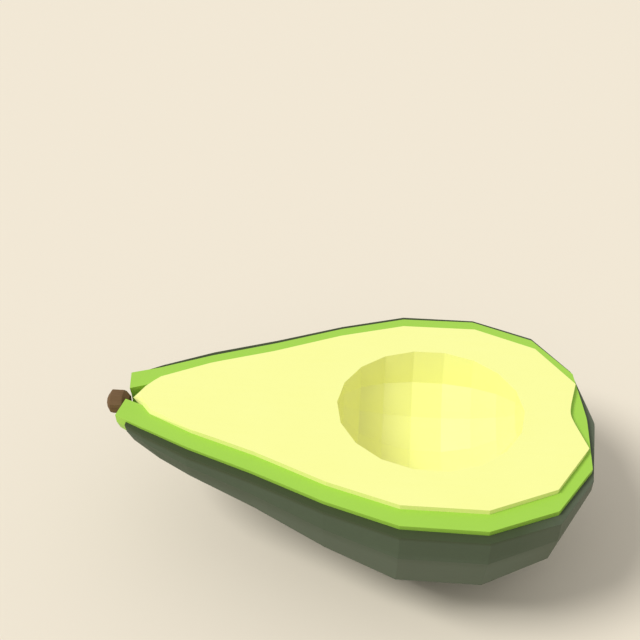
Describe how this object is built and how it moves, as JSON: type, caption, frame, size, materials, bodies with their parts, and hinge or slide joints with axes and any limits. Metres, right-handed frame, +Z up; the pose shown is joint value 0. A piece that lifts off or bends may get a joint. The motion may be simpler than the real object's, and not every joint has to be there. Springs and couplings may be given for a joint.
{
  "type": "avocado half",
  "caption": "Fruit cut in half lengthwise, lying on its rounded back: dark skin, green and pale flesh in stepped layers, a short stem and an empty hollow for the stone.",
  "frame": {"origin": "middle of the fruit's length and width, on the surface that it rests on", "axes": "+X along the fruit from the stem end to the blunt end, +Z up, square to the cut face"},
  "size_m": [0.1087, 0.0734, 0.035],
  "materials": {
    "skin": "matt, finely pebbled dark green rind",
    "green_flesh": "smooth, slightly moist green flesh",
    "pale_flesh": "smooth, slightly moist pale yellow flesh",
    "stem": "matt brown woody stub"
  },
  "bodies": {
    "root": {"skin": "skin", "green_flesh": "green_flesh", "pale_flesh": "pale_flesh", "stem": "stem"}
  },
  "joints": []
}
